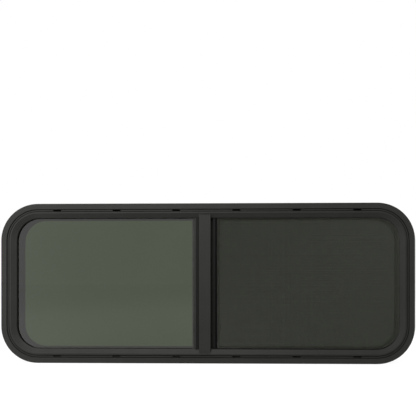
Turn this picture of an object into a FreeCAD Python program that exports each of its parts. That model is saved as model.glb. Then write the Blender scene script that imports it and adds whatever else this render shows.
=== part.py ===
import FreeCAD, Part
import math
import os
import re

import Sketcher

# A caravan window: a rounded frame bent from one aluminium extrusion, a fixed pane on the left,
# a fly screen on the right with a sliding pane behind it, and the clamp ring that holds the
# window in the wall from inside. X runs to the right as seen from outside, Y into the caravan
# and Z up. Sections are drawn by inset, the distance in from the frame's outer edge, and by
# depth, the distance behind the wall's outer skin.

SIZES = {
    # Outline
    "overall_width": 1068.0,
    "overall_height": 413.0,
    "corner_radius": 96.0,
    "wall_thickness": 45.0,
    "butt_seam": 0.3,
    "splice_length": 78.0,
    # Frame extrusion
    "face_height": 4.0,
    "edge_round": 1.4,
    "frame_sheet": 1.4,
    "flange_overlap": 12.6,
    "groove_shoulder": 1.9,
    "groove_width": 7.0,
    "groove_depth": 3.6,
    "slit_width": 2.0,
    "land_drop": 0.8,
    "ridge_width": 4.8,
    "sight_inset": 36.5,
    "lip_depth": 2.6,
    "lip_nose": 0.8,
    "track_inset": 31.8,
    "divider_height": 3.7,
    "track_width": 11.4,
    "ledge_thickness": 2.2,
    "inner_sight_inset": 38.2,
    # Weep slots
    "slot_length": 21.0,
    "slot_width": 5.0,
    "slot_end": 50.5,
    "slot_count": 6,
    # Glass and its seals
    "glass_thickness": 4.0,
    "glass_clearance": 0.9,
    "gasket_thickness": 1.6,
    "gasket_nose": 0.8,
    "bead_thickness": 1.8,
    "seat_gap": 0.2,
    "tape_width": 10.4,
    "block_length": 30.0,
    "block_end": 12.0,
    # Mullion
    "mullion_centre": -4.0,
    "mullion_width": 30.0,
    "mullion_plate": 1.8,
    "mullion_sheet": 1.5,
    "mullion_box": 20.0,
    "mullion_fin": 10.8,
    "rib_width": 1.6,
    "rib_height": 1.6,
    "gasket_lip": 5.0,
    "edge_cover": 7.0,
    "clip_width": 22.0,
    "clip_length": 4.2,
    "clip_thickness": 0.8,
    # Fly screen
    "screen_gap": 5.0,
    "screen_stile_width": 14.5,
    "screen_bar_width": 6.0,
    "screen_thickness": 6.2,
    "screen_clearance": 0.4,
    "spline_width": 4.4,
    "spline_land": 6.4,
    "spline_drop": 1.6,
    "mesh_thickness": 0.4,
    "mesh_step": 0.5,
    # Sliding pane
    "sash_overlap": 20.5,
    "sash_stile_width": 20.0,
    "sash_stile_grip": 9.0,
    "sash_clearance": 3.0,
    "liner_thickness": 1.2,
    "lip_reach": 1.6,
    "running_gap": 0.3,
    "pile_width": 7.0,
    "glide_length": 30.0,
    "stop_length": 12.0,
    "handle_length": 96.0,
    "handle_height": 12.0,
    "handle_base": 14.0,
    "handle_hook": 6.5,
    "handle_sheet": 1.8,
    "latch_length": 58.0,
    "latch_width": 15.0,
    "latch_height": 8.0,
    "lever_length": 34.0,
    "lever_width": 9.0,
    "lever_thickness": 2.6,
    "hook_reach": 6.5,
    "keeper_length": 26.0,
    "keeper_sheet": 1.2,
    "keeper_tooth": 5.0,
    # Clamp ring
    "ring_flange": 18.0,
    "ring_sheet": 1.6,
    "ring_lip_inset": 33.3,
    "hole_diameter": 4.5,
    "hole_edge": 5.8,
    "hole_end": 15.5,
    "hole_count": 6,
    "jamb_hole_end": 49.5,
}

doc = FreeCAD.newDocument("CaravanSlidingWindow")
sheet = doc.addObject("Spreadsheet::Sheet", "Sizes")
for row, (alias, number) in enumerate(SIZES.items(), 1):
    sheet.set("A%d" % row, alias)
    sheet.set("B%d" % row, str(number))
    sheet.setAlias("B%d" % row, alias)
doc.recompute()

# Depths of the seats, each built on the one before it.
FACE = "-face_height"
FLANGE_BACK = "(frame_sheet - face_height)"
GROOVE_FLOOR = "(groove_depth - face_height)"
LIP_BACK = "lip_depth"
GLASS_FRONT = "(lip_depth + gasket_thickness)"
GLASS_BACK = "(lip_depth + gasket_thickness + glass_thickness)"
DIVIDER = "(lip_depth + gasket_thickness + glass_thickness + bead_thickness)"
TRACK = f"({DIVIDER} + frame_sheet)"
LEDGE_UNDER = f"({TRACK} + track_width)"
LEDGE = f"({LEDGE_UNDER} + ledge_thickness)"
SASH_MIDDLE = f"({TRACK} + track_width / 2)"
SASH_FRONT = f"({SASH_MIDDLE} - glass_thickness / 2)"
SASH_BACK = f"({SASH_MIDDLE} + glass_thickness / 2)"

# Insets of the frame's steps.
CHAMBER_OUTER = "(flange_overlap + frame_sheet)"
GROOVE_OUTER = "(flange_overlap + groove_shoulder)"
GROOVE_INNER = f"({GROOVE_OUTER} + groove_width)"
RIDGE_INNER = f"({GROOVE_INNER} + ridge_width)"
CHAMBER = "(track_inset - frame_sheet)"
GLASS_INSET = "(track_inset + glass_clearance)"

LEFT = "-overall_width / 2"
RIGHT = "overall_width / 2"
TOP = "overall_height / 2"
BOTTOM = "-overall_height / 2"
MULLION_LEFT = "(mullion_centre - mullion_width / 2)"
MULLION_RIGHT = "(mullion_centre + mullion_width / 2)"
BOX_LEFT = "(mullion_centre - mullion_box / 2)"
BOX_RIGHT = "(mullion_centre + mullion_box / 2)"
FIN_LEFT = f"({MULLION_LEFT} - mullion_fin)"
FIXED_EDGE = f"({FIN_LEFT} + edge_cover + glass_clearance)"

# The straight runs between the corners, and the pitches that share them out.
RUN_LEFT = f"({LEFT} + corner_radius)"
RUN_RIGHT = f"({RIGHT} - corner_radius)"
SLOT_PITCH = "((overall_width - (corner_radius + slot_end) * 2) / (slot_count - 1))"
HOLE_PITCH = "((overall_width - (corner_radius + hole_end) * 2) / (hole_count - 1))"


def sized(text):
    """An expression on the sheet's cells."""
    return re.sub(r"[a-z]\w*", lambda word: "Sizes." + word.group(), text)


def value(text):
    """What an expression comes to with the sheet's numbers."""
    return float(sheet.evalExpression(text))


def body(label):
    """A body centred on the window, which stands on the middle of the bottom flange's back."""
    made = doc.addObject("PartDesign::Body", label)
    made.Label = label
    made.setExpression("Placement.Base.z", sized("overall_height / 2 - flange_overlap / 2"))
    return made


def sketch(owner, name, role, offset="0"):
    """A sketch on one of the body's origin planes, moved along the plane's normal."""
    drawn = owner.newObject("Sketcher::SketchObject", name)
    plane = next(item for item in owner.Origin.OriginFeatures if item.Role == role)
    drawn.AttachmentSupport = [(plane, "")]
    drawn.MapMode = "FlatFace"
    drawn.setExpression("AttachmentOffset.Base.z", sized(offset))
    return drawn


def fix(drawn, kind, args, text):
    """A dimension of the sketch, bound to its expression."""
    number = drawn.addConstraint(Sketcher.Constraint(kind, *args, value(text)))
    drawn.setExpression("Constraints[%d]" % number, sized(text))


def end_at(drawn, index, point):
    """Which end of a line or arc lies at a point."""
    first = (drawn.getPoint(index, 1) - point).Length
    second = (drawn.getPoint(index, 2) - point).Length
    return 1 if first < second else 2


def outline(drawn, corners, closed=True):
    """Lines through the corners, each (x, y) or, for a rounded one, (x, y, radius)."""
    spots = []
    count = len(corners)
    for index, corner in enumerate(corners):
        if len(corner) == 2:
            spots.append((corner[0], corner[1], None))
            continue
        x, y, radius = corner
        ends = []
        here = FreeCAD.Vector(value(x), value(y), 0)
        for other in (corners[index - 1], corners[(index + 1) % count]):
            way = FreeCAD.Vector(value(other[0]), value(other[1]), 0) - here
            way = FreeCAD.Vector(round(way.x, 6), round(way.y, 6), 0).normalize()
            ends.append((way, x if abs(way.x) < 0.5 else f"({x}) {'+' if way.x > 0 else '-'} ({radius})",
                         y if abs(way.y) < 0.5 else f"({y}) {'+' if way.y > 0 else '-'} ({radius})"))
        bulge = here + (ends[0][0] + ends[1][0]) * (value(radius) * (1 - math.sqrt(0.5)))
        spots.append((ends[0][1], ends[0][2], (bulge, radius)))
        spots.append((ends[1][1], ends[1][2], None))
    points = [FreeCAD.Vector(value(x), value(y), 0) for x, y, arc in spots]
    first = drawn.GeometryCount
    pairs = list(zip(range(len(spots)), list(range(1, len(spots))) + [0]))
    if not closed:
        pairs = pairs[:-1]
    for start, end in pairs:
        arc = spots[start][2]
        if arc:
            drawn.addGeometry(Part.Arc(points[start], arc[0], points[end]))
        else:
            drawn.addGeometry(Part.LineSegment(points[start], points[end]))
    for step, (start, end) in enumerate(pairs):
        index = first + step
        near = end_at(drawn, index, points[start])
        fix(drawn, "DistanceX", (-1, 1, index, near), spots[start][0])
        fix(drawn, "DistanceY", (-1, 1, index, near), spots[start][1])
        if step + 1 < len(pairs) or closed:
            following = first + (step + 1) % len(pairs)
            drawn.addConstraint(Sketcher.Constraint(
                "Coincident", index, 3 - near, following, end_at(drawn, following, points[end])))
        else:
            fix(drawn, "DistanceX", (-1, 1, index, 3 - near), spots[end][0])
            fix(drawn, "DistanceY", (-1, 1, index, 3 - near), spots[end][1])
        if spots[start][2]:
            fix(drawn, "Radius", (index,), spots[start][2][1])


def circle(drawn, x, y, diameter):
    index = drawn.addGeometry(Part.Circle(
        FreeCAD.Vector(value(x), value(y), 0), FreeCAD.Vector(0, 0, 1), value(diameter) / 2))
    fix(drawn, "DistanceX", (-1, 1, index, 3), x)
    fix(drawn, "DistanceY", (-1, 1, index, 3), y)
    fix(drawn, "Diameter", (index,), diameter)


def bent_ring(label, loops):
    """A section carried round the whole frame, its ends butted at the middle of the left jamb."""
    made = body(label)
    way = sketch(made, label + "_path", "XZ_Plane")
    outline(way, [
        (LEFT, "butt_seam / 2"),
        (LEFT, TOP, "corner_radius"),
        (RIGHT, TOP, "corner_radius"),
        (RIGHT, BOTTOM, "corner_radius"),
        (LEFT, BOTTOM, "corner_radius"),
        (LEFT, "-butt_seam / 2"),
    ], closed=False)
    section = sketch(made, label + "_section", "XY_Plane", "butt_seam / 2")
    for loop in loops:
        outline(section, [(f"{LEFT} + {inset}", depth) for inset, depth in loop])
    carry(made, section, way)
    return made


def bent_bow(label, side, end, loops):
    """A section carried round one half of the frame, from its bottom rail to its top rail."""
    made = body(label)
    edge = LEFT if side < 0 else RIGHT
    way = sketch(made, label + "_path", "XZ_Plane")
    outline(way, [
        (end, BOTTOM),
        (edge, BOTTOM, "corner_radius"),
        (edge, TOP, "corner_radius"),
        (end, TOP),
    ], closed=False)
    section = sketch(made, label + "_section", "YZ_Plane", end)
    for loop in loops:
        outline(section, [(depth, f"{BOTTOM} + {inset}") for inset, depth in loop])
    carry(made, section, way)
    return made


def carry(made, section, way):
    pipe = made.newObject("PartDesign::AdditivePipe", made.Label + "_bend")
    pipe.Profile = section
    pipe.Spine = (way, [])


def plate(label, front, thickness, corners, made=None, name="plate"):
    """A flat piece drawn as seen from outside, from its front face inwards."""
    made = made or body(label)
    drawn = sketch(made, label + "_" + name, "XZ_Plane", f"-({front} + {thickness})")
    outline(drawn, corners)
    pad(made, drawn, thickness)
    return made


def bar(label, bottom, length, corners, made=None, name="bar"):
    """An upright extrusion drawn in plan."""
    made = made or body(label)
    drawn = sketch(made, label + "_" + name, "XY_Plane", bottom)
    outline(drawn, corners)
    pad(made, drawn, length)
    return made


def rail(label, left, length, corners, made=None, name="rail"):
    """A level extrusion drawn in end view, as (depth, height)."""
    made = made or body(label)
    drawn = sketch(made, label + "_" + name, "YZ_Plane", left)
    outline(drawn, corners)
    pad(made, drawn, length)
    return made


def pad(made, drawn, length):
    grown = made.newObject("PartDesign::Pad", drawn.Name + "_pad")
    grown.Profile = drawn
    grown.setExpression("Length", sized(length))


def rectangle(left, right, bottom, top):
    return [(left, bottom), (right, bottom), (right, top), (left, top)]


def cut(made, drawn, length):
    """A pocket straight back from the sketch, checked to have taken something away."""
    doc.recompute()
    before = made.Shape.Volume
    pocket = made.newObject("PartDesign::Pocket", drawn.Name + "_pocket")
    pocket.Profile = drawn
    pocket.setExpression("Length", sized(length))
    doc.recompute()
    if made.Shape.Volume > before - 0.01:
        raise SystemExit(drawn.Name + " cuts nothing")
    return pocket


def row(made, feature, count, length):
    """Repeats a feature along X."""
    pattern = made.newObject("PartDesign::LinearPattern", feature.Name + "_row")
    pattern.Originals = [feature]
    axis = next(item for item in made.Origin.OriginFeatures if item.Role == "X_Axis")
    pattern.Direction = (axis, [""])
    pattern.setExpression("Length", sized(length))
    pattern.setExpression("Occurrences", sized(count))
    made.Tip = pattern
    return pattern


# Outer frame: the extrusion's section with its hollow chamber, then the weep slots in the groove.
frame_outside = [
    ("0", "0"),
    ("0", f"{FACE} + edge_round"),
    ("edge_round * 0.3", f"{FACE} + edge_round * 0.3"),
    ("edge_round", FACE),
    (GROOVE_OUTER, FACE),
    (GROOVE_OUTER, GROOVE_FLOOR),
    (f"{GROOVE_OUTER} + slit_width", GROOVE_FLOOR),
    (f"{GROOVE_OUTER} + slit_width", f"{FACE} + land_drop"),
    (f"{GROOVE_INNER} - slit_width", f"{FACE} + land_drop"),
    (f"{GROOVE_INNER} - slit_width", GROOVE_FLOOR),
    (GROOVE_INNER, GROOVE_FLOOR),
    (GROOVE_INNER, f"{FACE} + edge_round / 3"),
    (f"{GROOVE_INNER} + edge_round / 3", FACE),
    (f"{RIDGE_INNER} - edge_round / 2", FACE),
    (RIDGE_INNER, f"{FACE} + edge_round / 3"),
    ("sight_inset - lip_nose", "lip_depth - lip_nose * 2"),
    ("sight_inset", "lip_depth - lip_nose"),
    ("sight_inset", LIP_BACK),
    ("track_inset", LIP_BACK),
    ("track_inset", DIVIDER),
    ("track_inset + divider_height", DIVIDER),
    ("track_inset + divider_height", TRACK),
    ("track_inset", TRACK),
    ("track_inset", LEDGE_UNDER),
    ("inner_sight_inset", LEDGE_UNDER),
    ("inner_sight_inset", LEDGE),
    ("flange_overlap", LEDGE),
    ("flange_overlap", FLANGE_BACK),
    ("frame_sheet", FLANGE_BACK),
    ("frame_sheet", "0"),
]
frame_chamber = [
    (CHAMBER_OUTER, f"{GROOVE_FLOOR} + frame_sheet"),
    (f"{GROOVE_INNER} + frame_sheet", f"{GROOVE_FLOOR} + frame_sheet"),
    (CHAMBER, "lip_depth - frame_sheet - lip_nose"),
    (CHAMBER, LEDGE_UNDER),
    (CHAMBER_OUTER, LEDGE_UNDER),
]
outer_frame = bent_ring("outer_frame", [frame_outside, frame_chamber])
slots = sketch(outer_frame, "weep_slots", "XZ_Plane", "face_height")
SLOT_LEFT = f"({RUN_LEFT} + slot_end - slot_length / 2)"
SLOT_INSET = f"({GROOVE_OUTER} + (groove_width - slot_width) / 2)"
for lower, upper in (
    (f"{TOP} - {SLOT_INSET} - slot_width", f"{TOP} - {SLOT_INSET}"),
    (f"{BOTTOM} + {SLOT_INSET}", f"{BOTTOM} + {SLOT_INSET} + slot_width"),
):
    outline(slots, [
        (SLOT_LEFT, lower, "slot_width * 0.49"),
        (f"{SLOT_LEFT} + slot_length", lower, "slot_width * 0.49"),
        (f"{SLOT_LEFT} + slot_length", upper, "slot_width * 0.49"),
        (SLOT_LEFT, upper, "slot_width * 0.49"),
    ])
slot_pocket = cut(outer_frame, slots, "face_height + frame_sheet")
row(outer_frame, slot_pocket, "slot_count", f"{SLOT_PITCH} * (slot_count - 1)")

# Foam tape that seals the flange to the wall, in the recess behind the flange.
TAPE_INSET = "(frame_sheet + (flange_overlap - frame_sheet - tape_width) / 2)"
flange_tape = bent_ring("flange_tape", [[
    (TAPE_INSET, FLANGE_BACK),
    (f"{TAPE_INSET} + tape_width", FLANGE_BACK),
    (f"{TAPE_INSET} + tape_width", "0"),
    (TAPE_INSET, "0"),
]])

# Key inside the chamber that joins the two ends of the extrusion at the left jamb.
bar("frame_splice", "-splice_length / 2", "splice_length", rectangle(
    f"{LEFT} + {CHAMBER_OUTER} + seat_gap",
    f"{LEFT} + {CHAMBER} - seat_gap",
    f"{LEDGE_UNDER} - frame_sheet * 3",
    f"{LEDGE_UNDER} - seat_gap",
))

# Fixed pane with its outer gasket and inner bead.
GLASS_RADIUS = f"corner_radius - {GLASS_INSET}"
plate("fixed_glass", GLASS_FRONT, "glass_thickness", [
    (f"{LEFT} + {GLASS_INSET}", f"{BOTTOM} + {GLASS_INSET}", GLASS_RADIUS),
    (FIXED_EDGE, f"{BOTTOM} + {GLASS_INSET}"),
    (FIXED_EDGE, f"{TOP} - {GLASS_INSET}"),
    (f"{LEFT} + {GLASS_INSET}", f"{TOP} - {GLASS_INSET}", GLASS_RADIUS),
])
bent_bow("fixed_glass_gasket", -1, f"{FIN_LEFT} - gasket_lip - seat_gap", [[
    (GLASS_INSET, LIP_BACK),
    ("sight_inset + gasket_nose", LIP_BACK),
    ("sight_inset + gasket_nose", f"{LIP_BACK} + gasket_thickness / 2"),
    ("sight_inset + gasket_nose / 2", GLASS_FRONT),
    (GLASS_INSET, GLASS_FRONT),
]])
bent_bow("fixed_glass_bead", -1, f"{FIN_LEFT} - seat_gap", [[
    (GLASS_INSET, GLASS_BACK),
    ("track_inset + divider_height", GLASS_BACK),
    ("track_inset + divider_height", DIVIDER),
    (GLASS_INSET, DIVIDER),
]])
for name, place in (
    ("glass_block_left", f"{RUN_LEFT} + block_end"),
    ("glass_block_right", f"{FIXED_EDGE} - block_end - block_length"),
):
    rail(name, place, "block_length", rectangle(
        GLASS_FRONT, GLASS_BACK,
        f"{BOTTOM} + track_inset", f"{BOTTOM} + {GLASS_INSET}",
    ))

# Mullion: a face plate coped over the frame's sloped reveal, a box behind it, and two fins
# that hold the edge of the fixed pane. The front fin ends in a rib that falls away to the plate,
# and the back wall runs on behind the gap to the fly screen.
PLATE_FRONT = f"({FACE} + frame_sheet / 2)"
PLATE_BACK = f"({FACE} + frame_sheet / 2 + mullion_plate)"
SLOPE_RUN = f"(sight_inset - lip_nose - {RIDGE_INNER})"
SLOPE_FALL = f"(lip_depth - lip_nose * 2 - {FACE} - edge_round / 3)"


def slope_inset(depth):
    """Inset at which the reveal's slope reaches a depth."""
    return f"({RIDGE_INNER} + ({depth} - {FACE} - edge_round / 3) * {SLOPE_RUN} / {SLOPE_FALL})"


PLATE_END = f"({slope_inset(PLATE_FRONT)} + seat_gap * 2)"
PLATE_HEEL = f"({slope_inset(PLATE_BACK)} + seat_gap * 2)"
mullion = rail("mullion", MULLION_LEFT, "mullion_width", [
    (PLATE_FRONT, f"{BOTTOM} + {PLATE_END}"),
    (PLATE_BACK, f"{BOTTOM} + {PLATE_HEEL}"),
    (PLATE_BACK, f"{TOP} - {PLATE_HEEL}"),
    (PLATE_FRONT, f"{TOP} - {PLATE_END}"),
])
FIN_FRONT = "(lip_depth - frame_sheet)"
SCREEN_LEFT = f"({MULLION_RIGHT} + screen_gap)"
STEM = "(sight_inset + seat_gap)"
STEM_LENGTH = "overall_height - (sight_inset + seat_gap) * 2"
bar("mullion", f"{BOTTOM} + {STEM}", STEM_LENGTH, [
    (BOX_LEFT, PLATE_BACK),
    (BOX_RIGHT, PLATE_BACK),
    (BOX_RIGHT, DIVIDER),
    (SCREEN_LEFT, DIVIDER),
    (SCREEN_LEFT, f"{DIVIDER} + mullion_sheet"),
    (FIN_LEFT, f"{DIVIDER} + mullion_sheet"),
    (FIN_LEFT, DIVIDER),
    (f"{BOX_LEFT} - seat_gap", DIVIDER),
    (f"{BOX_LEFT} - seat_gap", LIP_BACK),
    (FIN_LEFT, LIP_BACK),
    (FIN_LEFT, f"{FIN_FRONT} - rib_height / 2"),
    (f"{FIN_LEFT} + rib_width / 2", f"{FIN_FRONT} - rib_height"),
    (f"{FIN_LEFT} + rib_width", f"{FIN_FRONT} - rib_height"),
    (MULLION_LEFT, FIN_FRONT),
    (BOX_LEFT, FIN_FRONT),
], mullion, "stem")
hollow = sketch(mullion, "mullion_hollow", "XY_Plane", f"{TOP} - {STEM}")
outline(hollow, rectangle(
    f"{BOX_LEFT} + mullion_sheet", f"{BOX_RIGHT} - mullion_sheet",
    f"{PLATE_BACK} + seat_gap * 2", DIVIDER,
))
cut(mullion, hollow, STEM_LENGTH)

bar("mullion_gasket", f"{BOTTOM} + {STEM}", STEM_LENGTH, [
    (f"{FIN_LEFT} - gasket_lip", GLASS_FRONT),
    (f"{FIN_LEFT} + edge_cover", GLASS_FRONT),
    (f"{FIN_LEFT} + edge_cover", LIP_BACK),
    (FIN_LEFT, LIP_BACK),
    (f"{FIN_LEFT} - gasket_lip", f"{GLASS_FRONT} - gasket_thickness / 4"),
])
bar("mullion_bead", f"{BOTTOM} + {STEM}", STEM_LENGTH, rectangle(
    FIN_LEFT, f"{FIN_LEFT} + edge_cover", GLASS_BACK, DIVIDER))
for name, lower in (
    ("mullion_top_clip", f"{TOP} - {PLATE_END} + seat_gap"),
    ("mullion_bottom_clip", f"{BOTTOM} + {PLATE_END} - seat_gap - clip_length"),
):
    plate(name, f"{FACE} - clip_thickness", "clip_thickness", rectangle(
        "mullion_centre - clip_width / 2", "mullion_centre + clip_width / 2",
        lower, f"{lower} + clip_length"))

# Fly screen in the outer track: a bent bow, a wider stile beside the mullion, the mesh and the
# cord that keeps it in its groove.
SCREEN_FRONT = "(lip_depth + screen_clearance)"
SCREEN_INSET = "(track_inset + screen_clearance)"
BAR_INNER = f"({SCREEN_INSET} + screen_bar_width)"
STILE_RIGHT = f"({SCREEN_LEFT} + screen_stile_width)"
GROOVE_LEFT = f"({SCREEN_LEFT} + spline_land)"
MESH_FRONT = f"({SCREEN_FRONT} + mesh_step)"
bent_bow("screen_bow", 1, STILE_RIGHT, [[
    (SCREEN_INSET, SCREEN_FRONT),
    (f"{BAR_INNER} - screen_bar_width / 3", SCREEN_FRONT),
    (f"{BAR_INNER} - screen_bar_width / 3", f"{MESH_FRONT} + mesh_thickness"),
    (BAR_INNER, f"{MESH_FRONT} + mesh_thickness"),
    (BAR_INNER, f"{SCREEN_FRONT} + screen_thickness"),
    (SCREEN_INSET, f"{SCREEN_FRONT} + screen_thickness"),
]])
bar("screen_stile", f"{BOTTOM} + {SCREEN_INSET}", f"overall_height - {SCREEN_INSET} * 2", [
    (SCREEN_LEFT, f"{SCREEN_FRONT} + mesh_step"),
    (f"{SCREEN_LEFT} + mesh_step", SCREEN_FRONT),
    (GROOVE_LEFT, SCREEN_FRONT),
    (GROOVE_LEFT, f"{SCREEN_FRONT} + spline_width"),
    (f"{GROOVE_LEFT} + spline_width", f"{SCREEN_FRONT} + spline_width"),
    (f"{GROOVE_LEFT} + spline_width", f"{MESH_FRONT} + mesh_thickness"),
    (STILE_RIGHT, f"{MESH_FRONT} + mesh_thickness"),
    (STILE_RIGHT, f"{SCREEN_FRONT} + screen_thickness"),
    (SCREEN_LEFT, f"{SCREEN_FRONT} + screen_thickness"),
])
MESH_INSET = f"({BAR_INNER} - screen_bar_width / 3)"
MESH_RADIUS = f"corner_radius - {MESH_INSET}"
plate("screen_mesh", MESH_FRONT, "mesh_thickness", [
    (f"{GROOVE_LEFT} + spline_width", f"{BOTTOM} + {MESH_INSET}"),
    (f"{RIGHT} - {MESH_INSET}", f"{BOTTOM} + {MESH_INSET}", MESH_RADIUS),
    (f"{RIGHT} - {MESH_INSET}", f"{TOP} - {MESH_INSET}", MESH_RADIUS),
    (f"{GROOVE_LEFT} + spline_width", f"{TOP} - {MESH_INSET}"),
])
bar("screen_spline", f"{BOTTOM} + {MESH_INSET}", f"overall_height - {MESH_INSET} * 2", rectangle(
    GROOVE_LEFT, f"{GROOVE_LEFT} + spline_width",
    f"{SCREEN_FRONT} + spline_drop", f"{SCREEN_FRONT} + spline_width"))
for name, height in (("screen_tab_upper", "0.55"), ("screen_tab_lower", "-0.55")):
    plate(name, f"{SCREEN_FRONT} + screen_thickness", "mullion_plate", [
        (f"{SCREEN_LEFT} + mesh_step", f"{TOP} * {height} - clip_width / 2"),
        (f"{STILE_RIGHT} + clip_length", f"{TOP} * {height} - clip_width / 2", "clip_length / 2"),
        (f"{STILE_RIGHT} + clip_length", f"{TOP} * {height} + clip_width / 2", "clip_length / 2"),
        (f"{SCREEN_LEFT} + mesh_step", f"{TOP} * {height} + clip_width / 2"),
    ])

# Sliding pane in the inner track, with its stile, pull and latch.
SASH_LEFT = f"({MULLION_LEFT} - sash_overlap)"
SASH_INSET = "(track_inset + sash_clearance)"
SASH_RADIUS = f"corner_radius - {SASH_INSET}"
plate("sash_glass", SASH_FRONT, "glass_thickness", [
    (f"{SASH_LEFT} + frame_sheet", f"{BOTTOM} + {SASH_INSET}"),
    (f"{RIGHT} - {SASH_INSET}", f"{BOTTOM} + {SASH_INSET}", SASH_RADIUS),
    (f"{RIGHT} - {SASH_INSET}", f"{TOP} - {SASH_INSET}", SASH_RADIUS),
    (f"{SASH_LEFT} + frame_sheet", f"{TOP} - {SASH_INSET}"),
])
STILE_INSET = "(inner_sight_inset + sash_clearance)"
STILE_LENGTH = f"overall_height - {STILE_INSET} * 2"
SASH_OUTER = f"({SASH_FRONT} - gasket_thickness - frame_sheet)"
SASH_INNER = f"({SASH_BACK} + gasket_thickness + frame_sheet)"
GRIP = f"({SASH_LEFT} + frame_sheet + sash_stile_grip)"
bar("sash_stile", f"{BOTTOM} + {STILE_INSET}", STILE_LENGTH, [
    (SASH_LEFT, SASH_OUTER),
    (GRIP, SASH_OUTER),
    (GRIP, f"{SASH_OUTER} + frame_sheet"),
    (f"{SASH_LEFT} + frame_sheet", f"{SASH_OUTER} + frame_sheet"),
    (f"{SASH_LEFT} + frame_sheet", f"{SASH_INNER} - frame_sheet"),
    (f"{SASH_LEFT} + sash_stile_width", f"{SASH_INNER} - frame_sheet"),
    (f"{SASH_LEFT} + sash_stile_width", SASH_INNER),
    (SASH_LEFT, SASH_INNER),
])
for name, front, inner in (
    ("sash_gasket_outer", f"{SASH_OUTER} + frame_sheet", GRIP),
    ("sash_gasket_inner", SASH_BACK, f"({SASH_LEFT} + sash_stile_width)"),
):
    bar(name, f"{BOTTOM} + {STILE_INSET}", STILE_LENGTH, rectangle(
        f"{SASH_LEFT} + frame_sheet", inner, front, f"{front} + gasket_thickness"))
PULL_EDGE = f"({SASH_INNER} + handle_height)"
bar("sash_handle", "-handle_length / 2", "handle_length", [
    (SASH_LEFT, SASH_INNER),
    (f"{SASH_LEFT} + handle_base", SASH_INNER),
    (f"{SASH_LEFT} + handle_base", f"{SASH_INNER} + handle_sheet"),
    (f"{SASH_LEFT} + handle_sheet", f"{SASH_INNER} + handle_sheet"),
    (f"{SASH_LEFT} + handle_sheet", f"{PULL_EDGE} - handle_sheet"),
    (f"{SASH_LEFT} + handle_hook", f"{PULL_EDGE} - handle_sheet"),
    (f"{SASH_LEFT} + handle_hook", f"{PULL_EDGE} - handle_sheet / 2"),
    (f"{SASH_LEFT} + handle_hook - handle_sheet / 2", PULL_EDGE),
    (f"{SASH_LEFT} + handle_sheet / 2", PULL_EDGE),
    (SASH_LEFT, f"{PULL_EDGE} - handle_sheet / 2"),
])

# Latch on the stile's lower end: a case, a lever that hooks down past the frame's inner lip, and
# the keeper on that lip whose tooth stops the hook.
LATCH_LEFT = f"({SASH_LEFT} + running_gap)"
LATCH_FOOT = f"({BOTTOM} + {STILE_INSET} + running_gap)"
rail("latch_body", LATCH_LEFT, "latch_width", [
    (SASH_INNER, LATCH_FOOT),
    (f"{SASH_INNER} + latch_height", LATCH_FOOT),
    (f"{SASH_INNER} + latch_height", f"{LATCH_FOOT} + latch_length - latch_height"),
    (SASH_INNER, f"{LATCH_FOOT} + latch_length"),
])
LEVER_LEFT = f"({LATCH_LEFT} + latch_width / 2 - lever_width / 2)"
LEVER_FRONT = f"({SASH_INNER} + latch_height)"
rail("latch_lever", LEVER_LEFT, "lever_width", [
    (f"{LEDGE} + keeper_sheet + running_gap", f"{LATCH_FOOT} - hook_reach"),
    (f"{LEVER_FRONT} + lever_thickness", f"{LATCH_FOOT} - hook_reach"),
    (f"{LEVER_FRONT} + lever_thickness", f"{LATCH_FOOT} + lever_length - lever_thickness * 3"),
    (f"{LEVER_FRONT} + lever_thickness * 2", f"{LATCH_FOOT} + lever_length"),
    (f"{LEVER_FRONT} + lever_thickness", f"{LATCH_FOOT} + lever_length"),
    (LEVER_FRONT, f"{LATCH_FOOT} + lever_length - lever_thickness * 3"),
    (LEVER_FRONT, f"{LATCH_FOOT} - running_gap"),
    (f"{LEDGE} + keeper_sheet + running_gap", f"{LATCH_FOOT} - running_gap"),
])
KEEPER_TOP = f"({BOTTOM} + inner_sight_inset)"
KEEPER_FOOT = f"({BOTTOM} + ring_lip_inset + running_gap)"
TOOTH_RIGHT = f"({LEVER_LEFT} - running_gap)"
bar("latch_keeper", KEEPER_FOOT, f"inner_sight_inset - ring_lip_inset - running_gap", [
    (f"{TOOTH_RIGHT} - keeper_sheet", LEDGE),
    (f"{TOOTH_RIGHT} - keeper_sheet + keeper_length", LEDGE),
    (f"{TOOTH_RIGHT} - keeper_sheet + keeper_length", f"{LEDGE} + keeper_sheet"),
    (TOOTH_RIGHT, f"{LEDGE} + keeper_sheet"),
    (TOOTH_RIGHT, f"{LEDGE} + keeper_sheet + keeper_tooth"),
    (f"{TOOTH_RIGHT} - keeper_sheet", f"{LEDGE} + keeper_sheet + keeper_tooth"),
])

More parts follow.
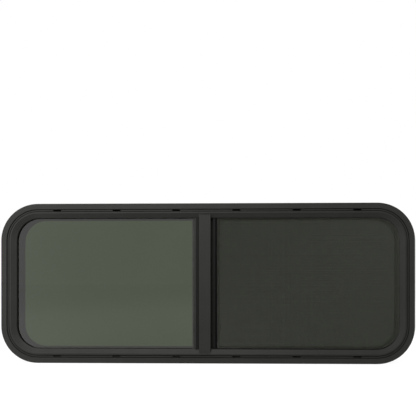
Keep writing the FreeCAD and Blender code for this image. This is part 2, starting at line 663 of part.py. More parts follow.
# Flocked liners of the top and bottom tracks, and the same section bent round the right jamb,
# which takes the pane's rounded edge when it is shut.
MOUTH = "(glass_thickness / 2 + running_gap)"
LINER_SECTION = [
    ("track_inset", TRACK),
    ("track_inset + divider_height", TRACK),
    ("track_inset + divider_height", f"{SASH_MIDDLE} - {MOUTH}"),
    ("track_inset + liner_thickness", f"{SASH_MIDDLE} - {MOUTH}"),
    ("track_inset + liner_thickness", f"{SASH_MIDDLE} + {MOUTH}"),
    ("track_inset + divider_height", f"{SASH_MIDDLE} + {MOUTH}"),
    ("track_inset + divider_height", LEDGE_UNDER),
    ("track_inset", LEDGE_UNDER),
]
SEAL_END = f"({RUN_RIGHT} - stop_length)"
RUN_LENGTH = "(overall_width - corner_radius * 2 - stop_length - seat_gap)"
bent_bow("jamb_seal", 1, SEAL_END, [LINER_SECTION])
for name, place in (
    ("sash_glide_left", f"{SASH_LEFT} + sash_stile_width"),
    ("sash_glide_right", f"{RUN_RIGHT} - glide_length * 2"),
):
    rail(name, place, "glide_length", rectangle(
        SASH_FRONT, SASH_BACK,
        f"{BOTTOM} + track_inset + liner_thickness", f"{BOTTOM} + {SASH_INSET}"))
for name, lower, upper in (
    ("sash_stop_top", f"{TOP} - {SASH_INSET} - lip_reach * 2", f"{TOP} - track_inset - divider_height"),
    ("sash_stop_bottom", f"{BOTTOM} + track_inset + divider_height", f"{BOTTOM} + {SASH_INSET} + lip_reach * 2"),
):
    rail(name, RUN_LEFT, "stop_length", rectangle(TRACK, LEDGE_UNDER, lower, upper))
bar("mullion_pile", f"{BOTTOM} + {STEM}", STEM_LENGTH, rectangle(
    f"{BOX_RIGHT} - mullion_sheet - pile_width", f"{BOX_RIGHT} - mullion_sheet",
    f"{DIVIDER} + mullion_sheet", f"{SASH_FRONT} - running_gap"))
rail("bottom_track_liner", RUN_LEFT, RUN_LENGTH,
     [(depth, f"{BOTTOM} + {inset}") for inset, depth in LINER_SECTION])
rail("top_track_liner", RUN_LEFT, RUN_LENGTH,
     [(depth, f"{TOP} - ({inset})") for inset, depth in LINER_SECTION])

# Clamp ring in its place on the inner skin of the wall, its lip on the frame's ledge.
LEG_INNER = "ring_flange"
LEG_OUTER = "(ring_flange - ring_sheet)"
ROOM = "wall_thickness"
clamp_ring = bent_ring("clamp_ring", [[
    ("0", ROOM),
    (LEG_OUTER, ROOM),
    (LEG_OUTER, LEDGE),
    ("ring_lip_inset", LEDGE),
    ("ring_lip_inset", f"{LEDGE} + ring_sheet"),
    (LEG_INNER, f"{LEDGE} + ring_sheet"),
    (LEG_INNER, f"{ROOM} + ring_sheet - edge_round / 2"),
    (f"{LEG_INNER} - edge_round / 2", f"{ROOM} + ring_sheet"),
    ("edge_round", f"{ROOM} + ring_sheet"),
    ("0", f"{ROOM} + ring_sheet - edge_round"),
]])
HOLE_INSET = "(ring_lip_inset - hole_edge)"
rail_holes = sketch(clamp_ring, "rail_holes", "XZ_Plane", f"-{LEDGE}")
for height in (f"{TOP} - {HOLE_INSET}", f"{BOTTOM} + {HOLE_INSET}"):
    circle(rail_holes, f"{RUN_LEFT} + hole_end", height, "hole_diameter")
jamb_holes = sketch(clamp_ring, "jamb_holes", "XZ_Plane", f"-{LEDGE}")
for side in (f"{LEFT} + {HOLE_INSET}", f"{RIGHT} - {HOLE_INSET}"):
    for height in (
        f"{TOP} - corner_radius - jamb_hole_end",
        f"{BOTTOM} + corner_radius + jamb_hole_end",
    ):
        circle(jamb_holes, side, height, "hole_diameter")
cut(clamp_ring, jamb_holes, "ring_sheet")
rail_pocket = cut(clamp_ring, rail_holes, "ring_sheet")
row(clamp_ring, rail_pocket, "hole_count", f"{HOLE_PITCH} * (hole_count - 1)")

doc.recompute()

bodies = [item for item in doc.Objects if item.TypeId == "PartDesign::Body"]
for item in doc.Objects:
    if {"Invalid", "Error"} & set(item.State):
        raise SystemExit("%s failed: %s" % (item.Name, item.State))
for item in bodies:
    if item.Shape.isNull() or not item.Shape.isValid() or not item.Shape.Solids:
        raise SystemExit("%s has no valid solid" % item.Label)

os.makedirs("parts", exist_ok=True)
for item in bodies:
    item.Shape.exportStep("parts/%s.step" % item.Label)
    box = item.Shape.BoundBox
    print("%-22s solids %d faces %3d volume %9.0f  x %.1f %.1f  y %.1f %.1f  z %.1f %.1f" % (
        item.Label, len(item.Shape.Solids), len(item.Shape.Faces), item.Shape.Volume,
        box.XMin, box.XMax, box.YMin, box.YMax, box.ZMin, box.ZMax))
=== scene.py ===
import math
import random

import bmesh
import bpy
from mathutils import Matrix, Vector


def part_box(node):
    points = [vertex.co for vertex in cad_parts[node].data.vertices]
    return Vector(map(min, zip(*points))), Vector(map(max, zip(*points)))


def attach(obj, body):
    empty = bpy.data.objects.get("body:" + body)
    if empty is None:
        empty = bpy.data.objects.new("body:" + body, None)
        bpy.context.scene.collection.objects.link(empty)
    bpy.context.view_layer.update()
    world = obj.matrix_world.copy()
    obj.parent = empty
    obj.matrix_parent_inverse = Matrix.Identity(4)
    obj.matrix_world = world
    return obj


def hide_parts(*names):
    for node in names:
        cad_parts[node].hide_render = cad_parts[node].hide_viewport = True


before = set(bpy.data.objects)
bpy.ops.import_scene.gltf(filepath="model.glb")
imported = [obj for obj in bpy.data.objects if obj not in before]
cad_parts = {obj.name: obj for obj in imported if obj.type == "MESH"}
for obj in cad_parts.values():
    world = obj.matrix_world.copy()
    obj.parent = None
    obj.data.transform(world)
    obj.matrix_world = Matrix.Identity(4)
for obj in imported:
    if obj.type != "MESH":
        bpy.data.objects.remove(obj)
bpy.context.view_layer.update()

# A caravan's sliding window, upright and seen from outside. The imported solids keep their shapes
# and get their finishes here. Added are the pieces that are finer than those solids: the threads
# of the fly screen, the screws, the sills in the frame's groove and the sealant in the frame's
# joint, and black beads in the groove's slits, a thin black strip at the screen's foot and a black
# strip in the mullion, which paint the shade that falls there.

MM = 0.001
chance = random.Random(7)

# Where the window lies, taken from its frame, and the radius of the frame's outer corners.
WINDOW_LOW, WINDOW_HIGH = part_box("outer_frame")
MIDDLE = (WINDOW_LOW + WINDOW_HIGH) / 2
CORNER = 96 * MM


# ---- Finishes

def colour(code):
    """An sRGB hex colour as linear red, green, blue and alpha."""
    values = [int(code[i:i + 2], 16) / 255 for i in (1, 3, 5)]
    linear = [v / 12.92 if v <= 0.04045 else ((v + 0.055) / 1.055) ** 2.4 for v in values]
    return (*linear, 1.0)


def add(tree, kind, inputs=None, **settings):
    """A shader node with its settings; an input takes a value or another node's output."""
    made = tree.nodes.new(kind)
    for name, value in settings.items():
        setattr(made, name, value)
    for name, value in (inputs or {}).items():
        socket = made.inputs[name]
        if isinstance(value, bpy.types.NodeSocket):
            tree.links.new(value, socket)
        else:
            socket.default_value = value
    return made


def material(name, **surface):
    """A new material with the values that are the same all over its surface."""
    made = bpy.data.materials.new(name)
    made.use_nodes = True
    tree = made.node_tree
    shader = tree.nodes["Principled BSDF"]
    for socket, value in surface.items():
        shader.inputs[socket.replace("_", " ")].default_value = value
    place = add(tree, "ShaderNodeTexCoord").outputs["Object"]
    return made, tree, shader, place


def grain(tree, place, size_mm, detail=2.0, stretch=(1, 1, 1), between=None):
    """Noise whose lumps are about the given size; a stretch below 1 draws them out that way. It
    seldom leaves 0.3 to 0.7, so where it has to run between two values, those become its ends."""
    scaled = add(tree, "ShaderNodeMapping", {"Vector": place, "Scale": stretch},
                 vector_type="POINT")
    noise = add(tree, "ShaderNodeTexNoise", {
        "Vector": scaled.outputs["Vector"], "Scale": 1 / (size_mm * MM), "Detail": detail,
    }).outputs["Fac"]
    if between is None:
        return noise
    low, high = between
    return add(tree, "ShaderNodeMapRange", {
        "Value": noise, "From Min": 0.3, "From Max": 0.7, "To Min": low, "To Max": high,
    }).outputs["Result"]


def lay_on(tree, shader, colours, tone, roughness=None, height=None, depth_mm=0.0, strength=1.0):
    """Lays a finish on: a colour that drifts with the tone between two hex colours, a roughness
    that varies over the surface, and a height that rises and falls by the given depth."""
    first, second = colours
    mixed = add(tree, "ShaderNodeMix", {
        "Factor": tone, "A": colour(first), "B": colour(second)}, data_type="RGBA")
    tree.links.new(mixed.outputs["Result"], shader.inputs["Base Color"])
    if roughness is not None:
        tree.links.new(roughness, shader.inputs["Roughness"])
    if height is not None:
        bump = add(tree, "ShaderNodeBump", {
            "Height": height, "Distance": depth_mm * MM, "Strength": strength})
        tree.links.new(bump.outputs["Normal"], shader.inputs["Normal"])


def powder_coat(name, dark, light, smooth, rough, shine):
    """Black polyester powder, sprayed on aluminium and baked. It gives soft, weak highlights, a
    tone that drifts a little along each length, and an orange peel about a millimetre wide."""
    made, tree, shader, place = material(name, IOR=1.5, Specular_IOR_Level=shine)
    lay_on(tree, shader, (dark, light),
           tone=grain(tree, place, size_mm=60, detail=3, between=(0, 1)),
           roughness=grain(tree, place, size_mm=25, between=(smooth, rough)),
           height=grain(tree, place, size_mm=1.1), depth_mm=0.03)
    return made


def safety_glass(name, shine, solar_coat, deep, pale, haze=0.0):
    """Toughened privacy glass, dark green all through. It gives pale reflections, with the slow
    waves that its rollers leave, and shows little of what is behind. A solar coat makes it
    reflect more than clear glass does, and haze softens what it mirrors."""
    made, tree, shader, place = material(name, IOR=1.52, Specular_IOR_Level=shine,
                                         Transmission_Weight=1.0, Coat_Weight=solar_coat)
    lay_on(tree, shader, (deep, pale),
           tone=grain(tree, place, size_mm=150, detail=1, between=(0, 1)),
           roughness=grain(tree, place, size_mm=90, detail=1, between=(haze, haze + 0.02)),
           height=grain(tree, place, size_mm=120, detail=0), depth_mm=0.02, strength=0.3)
    return made


def black_rubber(name, dark, light, shine):
    """Extruded EPDM rubber. It looks dull and even, with a fine grain from the die, which is
    really about 0.1 mm and is drawn coarser so that it shows."""
    made, tree, shader, place = material(name, IOR=1.52, Specular_IOR_Level=shine)
    lay_on(tree, shader, (dark, light),
           tone=grain(tree, place, size_mm=8, detail=3, between=(0, 1)),
           roughness=grain(tree, place, size_mm=3, between=(0.62, 0.8)),
           height=grain(tree, place, size_mm=0.5), depth_mm=0.03)
    return made


def closed_foam():
    """Closed-cell foam tape, as sliced: dull charcoal with small round cells. They are really
    about 0.5 mm wide and are drawn coarser so that they show."""
    made, tree, shader, place = material("foam_tape", IOR=1.45, Roughness=0.9)
    cell_width = 1.2 * MM
    cells = add(tree, "ShaderNodeTexVoronoi", {
        "Vector": place, "Scale": 1 / cell_width}).outputs["Distance"]
    lay_on(tree, shader, ("#2A2A29", "#1B1B1A"), tone=cells, height=cells, depth_mm=0.25)
    return made


def mill_aluminium():
    """Bare extruded aluminium: grey metal with lines along the extrusion. They are really about
    0.1 mm apart and are drawn coarser so that they show."""
    made, tree, shader, place = material("mill_aluminium", Metallic=1.0)
    drawn_out = (0.05, 1, 1)
    lines = grain(tree, place, size_mm=1.5, detail=3, stretch=drawn_out)
    lay_on(tree, shader, ("#A9ABAD", "#BFC1C3"), tone=lines,
           roughness=grain(tree, place, size_mm=1.5, detail=3, stretch=drawn_out,
                           between=(0.32, 0.46)),
           height=lines, depth_mm=0.01)
    return made


def moulded_nylon():
    """Glass-filled black nylon, as moulded: half matt, with the fine grain of a spark-eroded
    mould. The grain is really about 0.1 mm and is drawn coarser so that it shows."""
    made, tree, shader, place = material("moulded_nylon", IOR=1.53)
    lay_on(tree, shader, ("#1A1A1A", "#232322"),
           tone=grain(tree, place, size_mm=5, detail=3, between=(0, 1)),
           roughness=grain(tree, place, size_mm=2, between=(0.45, 0.58)),
           height=grain(tree, place, size_mm=0.35, detail=1), depth_mm=0.05)
    return made


def flocked_rubber():
    """Rubber run channel coated with nylon flock: velvety, without a highlight. The fibres are
    really 0.02 mm thick and are drawn coarser so that they show."""
    made, tree, shader, place = material("flocked_channel", IOR=1.5, Roughness=0.95,
                                         Sheen_Weight=0.4, Sheen_Roughness=0.5)
    fibres = grain(tree, place, size_mm=0.3, detail=4)
    lay_on(tree, shader, ("#111111", "#262625"), tone=fibres, height=fibres, depth_mm=0.15)
    return made


def woven_pile():
    """Grey weather pile of woven polypropylene: upright tufts, 0.8 mm wide, with pale tips."""
    made, tree, shader, place = material("weather_pile", IOR=1.49, Roughness=0.85,
                                         Sheen_Weight=0.5)
    tufts = grain(tree, place, size_mm=0.8, detail=3, stretch=(1, 0.1, 1))
    lay_on(tree, shader, ("#2E2E2D", "#5A5A57"), tone=tufts, height=tufts, depth_mm=0.3)
    return made


def coated_fibreglass():
    """PVC-coated glass-fibre thread, as woven: smooth charcoal with a small shine."""
    made, tree, shader, place = material("screen_thread", IOR=1.53, Specular_IOR_Level=0.25)
    lay_on(tree, shader, ("#3C3E36", "#41433A"),
           tone=grain(tree, place, size_mm=12, between=(0, 1)),
           roughness=grain(tree, place, size_mm=2, detail=1, between=(0.4, 0.55)))
    return made


def blackened_steel():
    """Steel screws, zinc-plated and blackened: metal under a thin dark finish, a little patchy."""
    made, tree, shader, place = material("black_zinc_steel", Metallic=1.0)
    lay_on(tree, shader, ("#4A4A4A", "#5E5E5C"),
           tone=grain(tree, place, size_mm=2, detail=3, between=(0, 1)),
           roughness=grain(tree, place, size_mm=1, between=(0.25, 0.42)))
    return made


FRAME_COAT = powder_coat("satin_coat_frame", "#2F2F2D", "#323230",
                         smooth=0.44, rough=0.52, shine=0.08)
RING_COAT = powder_coat("satin_coat_ring", "#2B2B29", "#2E2E2C",
                        smooth=0.46, rough=0.54, shine=0.08)
# The screen's stile is near black: partly its own matt coat, and partly painted shade for the
# shadow it lies in beside the mullion.
SCREEN_COAT_AND_SHADE = powder_coat("matt_coat_and_shade_screen", "#0C0C0B", "#0F0F0E",
                          smooth=0.55, rough=0.65, shine=0.12)
FIXED_GLASS = safety_glass("privacy_glass_fixed", shine=0.5, solar_coat=0.3,
                           deep="#303A23", pale="#323C25")
# The sliding pane is hazed, because in a clear one the image of the screen's threads draws a pale
# cross where it is looked at straight on.
SLIDING_GLASS = safety_glass("privacy_glass_sliding", shine=0.18, solar_coat=0.0,
                             deep="#0D1107", pale="#0E1208", haze=0.14)
RUBBER = black_rubber("epdm_rubber", "#1C1C1B", "#242422", shine=0.25)
GASKET_RUBBER = black_rubber("gasket_rubber", "#12110B", "#15140D", shine=0.1)
SPLINE_RUBBER = black_rubber("spline_rubber", "#030303", "#060606", shine=0.05)
# Black rubber of the sealant in the frame's joint. It is also used for the beads and the strip that
# paint shade in the groove's slits and at the screen's foot.
SEALANT_AND_SHADE_RUBBER = black_rubber("sealant_and_shade_rubber", "#0D0D0C", "#111110", shine=0.06)
# Black rubber of the strip that paints the shade in the mullion's channel.
MULLION_SHADE_RUBBER = black_rubber("mullion_shade_rubber", "#131312", "#171716", shine=0.12)
FOAM = closed_foam()
BARE_METAL = mill_aluminium()
NYLON = moulded_nylon()
FLOCK = flocked_rubber()
PILE = woven_pile()
THREAD = coated_fibreglass()
SCREW_STEEL = blackened_steel()

FINISHES = (
    (FRAME_COAT, ("outer_frame", "mullion", "mullion_top_clip", "mullion_bottom_clip",
                  "screen_bow", "sash_stile", "sash_handle")),
    (RING_COAT, ("clamp_ring",)),
    (SCREEN_COAT_AND_SHADE, ("screen_stile",)),
    (FIXED_GLASS, ("fixed_glass",)),
    (SLIDING_GLASS, ("sash_glass",)),
    (RUBBER, ("fixed_glass_bead", "glass_block_left", "glass_block_right", "mullion_gasket",
              "mullion_bead", "sash_gasket_outer", "sash_gasket_inner", "sash_stop_top",
              "sash_stop_bottom")),
    (GASKET_RUBBER, ("fixed_glass_gasket",)),
    (SPLINE_RUBBER, ("screen_spline",)),
    (FOAM, ("flange_tape",)),
    (BARE_METAL, ("frame_splice", "latch_keeper")),
    (NYLON, ("screen_tab_upper", "screen_tab_lower", "latch_body", "latch_lever",
             "sash_glide_left", "sash_glide_right")),
    (FLOCK, ("bottom_track_liner", "top_track_liner", "jamb_seal")),
    (PILE, ("mullion_pile",)),
    (THREAD, ("screen_mesh",)),
)
for finish, nodes in FINISHES:
    for node in nodes:
        for slot in bpy.data.objects[node].material_slots:
            slot.material = finish


# ---- Pieces that are added to the solids

def mesh_of(name, shape):
    """The mesh of a finished shape."""
    mesh = bpy.data.meshes.new(name)
    shape.to_mesh(mesh)
    shape.free()
    return mesh


def piece_from(name, shape, finish):
    """A piece of the window's one rigid body."""
    made = bpy.data.objects.new(name, mesh_of(name, shape))
    bpy.context.scene.collection.objects.link(made)
    made.data.materials.append(finish)
    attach(made, "root")
    return made


def closed_piece(name, shape, finish):
    """A piece like that, with all its faces turned outwards first."""
    bmesh.ops.recalc_face_normals(shape, faces=shape.faces)
    return piece_from(name, shape, finish)


def skin(shape, loops, ends="capped"):
    """Faces from each loop of points to the next. The ends are capped, joined or left open."""
    for first, second in zip(loops, loops[1:] + (loops[:1] if ends == "joined" else [])):
        for i in range(len(first)):
            j = (i + 1) % len(first)
            shape.faces.new((first[i], first[j], second[j], second[i]))
    if ends == "capped":
        shape.faces.new(loops[0][::-1])
        shape.faces.new(loops[-1])


def fly_screen_weave():
    """Threads of the fly screen, cut to its rounded outline. They are straight square sections,
    those across behind those upright, because at this size no bend at a crossing would show."""
    low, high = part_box("screen_mesh")
    corner = CORNER - (WINDOW_HIGH.x - high.x)
    # Finer than a common screen's 18 threads to the inch, and each thread strays by up to about a
    # third of the spacing, so that the render's pixels, 2.6 mm wide, don't draw stripes on it.
    thread = 0.32 * MM
    pitch = 25.4 / 26 * MM
    stray = 0.35
    shape = bmesh.new()

    def strand(start, end):
        along = (end - start).normalized()
        across = along.cross(Vector((0, 1, 0))) * thread / 2
        deep = Vector((0, thread / 2, 0))
        skin(shape, [[shape.verts.new(spot + side) for side in (across, deep, -across, -deep)]
                     for spot in (start, end)])

    def rounded(distance):
        """How much the outline draws in at a distance past the start of the corner."""
        return corner - math.sqrt(max(corner ** 2 - max(distance, 0) ** 2, 0))

    middle_depth = (low.y + high.y) / 2
    depth = middle_depth - thread * 0.4
    for i in range(int((high.x - low.x) / pitch)):
        x = low.x + pitch * (i + 0.5 + chance.uniform(-stray, stray))
        drawn_in = rounded(x - (high.x - corner))
        strand(Vector((x, depth, low.z + drawn_in)), Vector((x, depth, high.z - drawn_in)))
    depth = middle_depth + thread * 0.4
    for i in range(int((high.z - low.z) / pitch)):
        z = low.z + pitch * (i + 0.5 + chance.uniform(-stray, stray))
        drawn_in = rounded(abs(z - MIDDLE.z) - ((high.z - low.z) / 2 - corner))
        strand(Vector((low.x, depth, z)), Vector((high.x - drawn_in, depth, z)))
    made = closed_piece("screen_weave", shape, THREAD)
    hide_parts("screen_mesh")


def pan_head(diameter, height):
    """A pan-head screw's head with a cross recess, its seat at the origin, facing +Z."""
    # Share of the diameter and of the height, from the seat up to the flat top.
    profile = ((0.5, 0.0), (0.5, 0.35), (0.46, 0.7), (0.36, 0.92), (0.2, 1.0))
    sides = 24
    shape = bmesh.new()
    skin(shape, [[shape.verts.new((diameter * share * math.cos(math.tau * i / sides),
                                   diameter * share * math.sin(math.tau * i / sides),
                                   height * rise))
                  for i in range(sides)] for share, rise in profile])

    # Two crossed arms, which narrow towards the recess's floor.
    recess = bmesh.new()
    arm_length, arm_width, taper = 0.52, 0.12, 0.55
    for turn in (0, math.pi / 2):
        arm = bmesh.ops.create_cube(recess, size=1.0)["verts"]
        bmesh.ops.scale(recess, verts=arm,
                        vec=(diameter * arm_length, diameter * arm_width, height))
        bmesh.ops.translate(recess, verts=arm, vec=(0, 0, height))
        bmesh.ops.rotate(recess, verts=arm, cent=(0, 0, 0), matrix=Matrix.Rotation(turn, 3, "Z"))
        for vert in arm:
            if vert.co.z < height * 0.8:
                vert.co.x *= taper
                vert.co.y *= taper

    body = bpy.data.objects.new("head", mesh_of("head", shape))
    tool = bpy.data.objects.new("cross", mesh_of("cross", recess))
    for item in (body, tool):
        bpy.context.scene.collection.objects.link(item)
    cut = body.modifiers.new("recess", "BOOLEAN")
    cut.operation = "DIFFERENCE"
    cut.object = tool
    cut.solver = "EXACT"
    cut.use_self = True
    bpy.context.view_layer.update()
    evaluated = body.evaluated_get(bpy.context.evaluated_depsgraph_get())
    head = bpy.data.meshes.new_from_object(evaluated)
    for item in (body, tool):
        bpy.data.objects.remove(item)
    return head


def screws(name, head, places):
    """The same screw at several places, each facing into the room and turned its own way."""
    shape = bmesh.new()
    for number, spot in enumerate(places):
        before = len(shape.verts)
        shape.from_mesh(head)
        shape.verts.ensure_lookup_table()
        facing = Matrix.Rotation(-math.pi / 2, 4, "X")
        turned = Matrix.Rotation(0.7 * number, 4, "Z")
        bmesh.ops.transform(shape, matrix=Matrix.Translation(spot) @ facing @ turned,
                            verts=shape.verts[before:])
    piece_from(name, shape, SCREW_STEEL)


def ring_screws():
    """Sixteen screws through the clamp ring's lip into the frame's ledge."""
    low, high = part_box("clamp_ring")
    lip_thickness, inset, half_rise = 1.6 * MM, 27.5 * MM, 61 * MM
    first, spacing = -422.5 * MM, 169 * MM
    depth = low.y + lip_thickness
    places = []
    for i in range(6):
        x = first + spacing * i
        places += [Vector((x, depth, low.z + inset)), Vector((x, depth, high.z - inset))]
    for x in (low.x + inset, high.x - inset):
        for z in (MIDDLE.z - half_rise, MIDDLE.z + half_rise):
            places.append(Vector((x, depth, z)))
    screws("ring_screws", pan_head(diameter=8.0 * MM, height=2.6 * MM), places)


def latch_screw():
    """The screw that holds the latch's case to the sliding pane's stile."""
    low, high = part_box("latch_body")
    from_top = 16 * MM
    places = [Vector(((low.x + high.x) / 2, high.y, high.z - from_top))]
    screws("latch_screw", pan_head(diameter=5.0 * MM, height=1.6 * MM), places)


def handle_screws():
    """Two small screws through the pull's base into the sliding pane's stile."""
    low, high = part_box("sash_handle")
    base_thickness, from_edge, from_end = 1.8 * MM, 9.8 * MM, 14 * MM
    places = [Vector((low.x + from_edge, low.y + base_thickness, z))
              for z in (low.z + from_end, high.z - from_end)]
    screws("handle_screws", pan_head(diameter=4.6 * MM, height=1.5 * MM), places)


def keeper_screws():
    """Two small screws that hold the latch's keeper to the frame's ledge."""
    low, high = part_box("latch_keeper")
    plate_thickness = 1.2 * MM
    places = [Vector((low.x + along * MM, low.y + plate_thickness, (low.z + high.z) / 2))
              for along in (15, 22)]
    screws("keeper_screws", pan_head(diameter=3.6 * MM, height=1.2 * MM), places)


def corner_centre(side, end):
    """The middle of one of the frame's bends; 1 is right or top, -1 is left or bottom."""
    half = (WINDOW_HIGH - WINDOW_LOW) / 2
    return MIDDLE.x + side * (half.x - CORNER), MIDDLE.z + end * (half.z - CORNER)


def bend(side, end, quarter, used=12):
    """Stops round one corner, twelve to the quarter turn: the bend's middle and the angle."""
    centre = corner_centre(side, end)
    return [(*centre, (quarter + i / 12) * math.pi / 2) for i in range(used + 1)]


def follow_frame(name, stops, section, finish, ends="capped", fading=0):
    """A section, as pairs of inset and depth in mm, carried along stops of the frame's outline.
    Over the last few stops it can shrink to a tenth of its size, towards its own last point."""
    shape = bmesh.new()
    root_inset, root_depth = section[-1]
    loops = []
    for number, (x, z, turn) in enumerate(stops):
        left = len(stops) - 1 - number
        share = 1.0 if left >= fading else 0.1 + 0.9 * left / fading
        loops.append([])
        for inset, depth in section:
            reach = CORNER - (root_inset + (inset - root_inset) * share) * MM
            depth = root_depth + (depth - root_depth) * share
            loops[-1].append(shape.verts.new((x + reach * math.cos(turn), depth * MM,
                                              z + reach * math.sin(turn))))
    skin(shape, loops, ends)
    closed_piece(name, shape, finish)


def groove_shade_beads():
    """Thin black beads in the two slits of the flange's groove, which paint the shade that falls in
    them. The slits are about a pixel wide in the photograph, so what lies in them is a guess."""
    all_round = bend(1, 1, 0) + bend(-1, 1, 1) + bend(-1, -1, 2) + bend(1, -1, 3)
    width, back, shoulder, front, rounding = 1.9, -0.4, -3.5, -3.8, 0.4
    for name, outer in (("groove_shade_outer", 14.55), ("groove_shade_inner", 19.55)):
        inner = outer + width
        section = [(outer, back), (outer, shoulder), (outer + rounding, front),
                   (inner - rounding, front), (inner, shoulder), (inner, back)]
        follow_frame(name, all_round, section, SEALANT_AND_SHADE_RUBBER, ends="joined")


def weep_baffles():
    """Sloped sills in the lower half of the bottom weep slots, which keep out driven rain. Their
    shape is a guess: the photograph shows only that those slots look half closed."""
    first, spacing, half_length = -387.5 * MM, 155 * MM, 9.75 * MM
    section = [(16.5, -0.5), (16.5, -2.6), (16.8, -2.5), (17.1, -1.9), (17.1, -0.5)]
    level = corner_centre(1, -1)[1]
    downwards = 1.5 * math.pi
    for i in range(6):
        x = first + spacing * i
        stops = [(x - half_length, level, downwards), (x + half_length, level, downwards)]
        follow_frame(f"weep_baffle_{i + 1}", stops, section, FRAME_COAT)


def screen_foot_shade_strip():
    """A thin black strip along the foot of the fly screen, against the frame's lip, which paints
    the shade in the gap between them. It fades out on its way up the corner."""
    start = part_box("screen_stile")[0].x
    stops = [(start, corner_centre(1, -1)[1], 1.5 * math.pi)] + bend(1, -1, 3, used=9)
    section = [(35.8, 1.05), (36.5, 0.95), (37.6, 1.7), (37.9, 2.9), (36.55, 2.9), (36.55, 1.85)]
    follow_frame("screen_foot_shade_strip", stops, section, SEALANT_AND_SHADE_RUBBER, fading=6)


def mullion_shade_strip():
    """A black rubber strip in the channel between the mullion's rib and its face plate, which
    paints the shade that falls in that channel.
    """
    low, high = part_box("mullion_gasket")
    rib_thickness, channel_width = 1.6 * MM, 9.0 * MM
    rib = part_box("mullion")[0].x + rib_thickness
    plate = rib + channel_width
    back = 1.6 * MM
    section = [(rib, -0.1 * MM), (rib + 1.6 * MM, -0.75 * MM), (plate - 2 * MM, -0.35 * MM),
               (plate, 0.7 * MM), (plate, back), (rib, back)]
    shape = bmesh.new()
    skin(shape, [[shape.verts.new((x, y, z)) for x, y in section] for z in (low.z, high.z)])
    closed_piece("mullion_shade_strip", shape, MULLION_SHADE_RUBBER)


def seam_sealant():
    """Sealant that fills the butt joint of the frame's two ends, in the middle of its left side.
    It takes its outline from the cut end of the section."""
    half_joint, tolerance = 0.15 * MM, 0.02 * MM
    joint = Vector((0, 0, 2 * half_joint))
    frame_piece = bpy.data.objects["outer_frame"]
    place = frame_piece.matrix_world
    shape = bmesh.new()
    upper, lower, borders = {}, {}, []
    for face in frame_piece.data.polygons:
        around = list(face.vertices)
        corners = [place @ frame_piece.data.vertices[i].co for i in around]
        if all(abs(spot.z - MIDDLE.z - half_joint) < tolerance for spot in corners):
            for i, spot in zip(around, corners):
                if i not in upper:
                    upper[i] = shape.verts.new(spot)
                    lower[i] = shape.verts.new(spot - joint)
            shape.faces.new([upper[i] for i in around])
            shape.faces.new([lower[i] for i in reversed(around)])
            borders += zip(around, around[1:] + around[:1])
    # A border that two faces share lies inside; the others are the outline.
    for start, end in borders:
        if (end, start) not in borders:
            shape.faces.new((upper[end], upper[start], lower[start], lower[end]))
    closed_piece("seam_sealant", shape, SEALANT_AND_SHADE_RUBBER)


def seam_smear():
    """The little sealant that was squeezed out of the joint onto the frame's outer edge: a low
    crowned pad, and a flat back just inside the frame's surface."""
    half_height, rise, buried = 6.5 * MM, 0.8 * MM, 0.2 * MM
    front, back = WINDOW_LOW.y + 0.8 * MM, -0.2 * MM
    rows, columns = 9, 7
    shape = bmesh.new()
    rims = []
    for bulge, foot in ((rise, 0.0), (0.0, buried)):
        grid = []
        for row in range(rows):
            u = row / (rows - 1) * 2 - 1
            grid.append([])
            for column in range(columns):
                v = column / (columns - 1) * 2 - 1
                crown = bulge * (1 - u ** 2) ** 1.5 * (1 - v ** 4)
                grid[-1].append(shape.verts.new((
                    WINDOW_LOW.x - crown + foot,
                    (front + back) / 2 + v * (back - front) / 2,
                    MIDDLE.z + u * half_height)))
        for lower, upper in zip(grid, grid[1:]):
            for i in range(columns - 1):
                shape.faces.new((lower[i], lower[i + 1], upper[i + 1], upper[i]))
        rims.append(grid[0] + [line[-1] for line in grid[1:]] + grid[-1][-2::-1]
                    + [line[0] for line in grid[-2:0:-1]])
    skin(shape, rims, ends="open")
    smear = closed_piece("seam_smear", shape, SEALANT_AND_SHADE_RUBBER)
    smear.data.polygons.foreach_set("use_smooth", [True] * len(smear.data.polygons))


fly_screen_weave()
groove_shade_beads()
weep_baffles()
screen_foot_shade_strip()
mullion_shade_strip()
seam_sealant()
seam_smear()
ring_screws()
latch_screw()
handle_screws()
keeper_screws()


# ---- Studio and camera

def seen_white(tree):
    """One for the rays that see the white surroundings, nought for those that only light things."""
    rays = add(tree, "ShaderNodeLightPath").outputs
    seen = rays["Is Camera Ray"]
    for other in (rays["Is Glossy Ray"], rays["Is Transmission Ray"]):
        seen = add(tree, "ShaderNodeMath", {0: seen, 1: other}, operation="MAXIMUM").outputs[0]
    return seen


def white_table():
    """A wide table, half a millimetre under the window: grey where it lights things, and nearly
    white where it is seen, with room left for the window's shadow."""
    reach, level = 30.0, WINDOW_LOW.z - 0.5 * MM
    mesh = bpy.data.meshes.new("floor")
    mesh.from_pydata([(-reach, -reach, level), (reach, -reach, level),
                      (reach, reach, level), (-reach, reach, level)], [], [(0, 1, 2, 3)])
    floor = bpy.data.objects.new("floor", mesh)
    bpy.context.scene.collection.objects.link(floor)
    paper = bpy.data.materials.new("white_table")
    paper.use_nodes = True
    tree = paper.node_tree
    tree.nodes.clear()
    plain = add(tree, "ShaderNodeBsdfDiffuse", {"Color": colour("#B8B8B8")}).outputs["BSDF"]
    bright = add(tree, "ShaderNodeEmission", {"Strength": 0.94}).outputs["Emission"]
    faint = add(tree, "ShaderNodeBsdfDiffuse", {"Color": colour("#5A5A5A")}).outputs["BSDF"]
    shown = add(tree, "ShaderNodeAddShader", {0: bright, 1: faint}).outputs["Shader"]
    mixed = add(tree, "ShaderNodeMixShader", {0: seen_white(tree), 1: plain, 2: shown})
    add(tree, "ShaderNodeOutputMaterial", {"Surface": mixed.outputs["Shader"]})
    mesh.materials.append(paper)


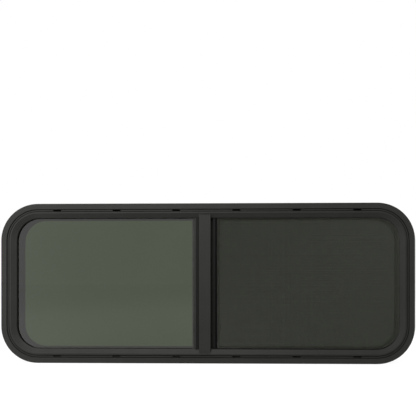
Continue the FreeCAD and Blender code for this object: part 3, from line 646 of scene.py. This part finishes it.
def white_room():
    """A sky that is white where it is seen, and lights things at less than a third of that."""
    world = bpy.data.worlds.new("white_room")
    bpy.context.scene.world = world
    world.use_nodes = True
    tree = world.node_tree
    tree.nodes.clear()
    level = add(tree, "ShaderNodeMapRange", {
        "Value": seen_white(tree), "To Min": 0.3, "To Max": 1.0}).outputs["Result"]
    sky = add(tree, "ShaderNodeBackground", {"Color": (1, 1, 1, 1), "Strength": level})
    add(tree, "ShaderNodeOutputWorld", {"Surface": sky.outputs["Background"]})


def lamps():
    """Soft square lamps, all aimed at the window's middle and placed so that none shows in the
    glass from the camera: name, place, width in metres and power in watts."""
    for name, place, width, power in (
        ("over_window", (-0.3, -0.8, 1.8), 0.8, 24.0),
        ("left_near", (-0.9, -1.2, 1.3), 0.8, 12.0),
        ("left_far", (-1.7, -1.7, 2.3), 1.8, 7.0),
        ("left_low", (-1.9, -0.7, 0.3), 0.5, 4.0),
        ("behind", (0.4, 2.6, 2.2), 2.0, 45.0),
        ("right_back", (2.6, 1.2, 1.0), 1.2, 24.0),
    ):
        lamp = bpy.data.lights.new(name, "AREA")
        lamp.size = width
        lamp.energy = power
        stand = bpy.data.objects.new(name, lamp)
        stand.location = place
        stand.rotation_mode = "QUATERNION"
        stand.rotation_quaternion = (Vector(place) - MIDDLE).to_track_quat("Z", "Y")
        bpy.context.scene.collection.objects.link(stand)


def camera():
    """Level with the window's middle and a little to its right, with the window low in the
    picture. The focal length and the point straight ahead are in pixels of a picture 416 wide."""
    picture, focal, across, down = 416, 252.0, 261.52, 283.38
    turned_left = 0.0118
    lens = bpy.data.cameras.new("camera")
    lens.sensor_width = 36.0
    lens.lens = 36.0 * focal / picture
    lens.shift_x = (picture / 2 - across) / picture
    lens.shift_y = (down - picture / 2) / picture
    lens.clip_start = 0.01
    lens.clip_end = 200.0
    stand = bpy.data.objects.new("camera", lens)
    stand.location = (150 * MM, -650 * MM, MIDDLE.z)
    stand.rotation_euler = (math.pi / 2, 0, turned_left)
    bpy.context.scene.collection.objects.link(stand)
    bpy.context.scene.camera = stand


white_table()
white_room()
lamps()
camera()
bpy.context.scene.view_settings.view_transform = "Standard"
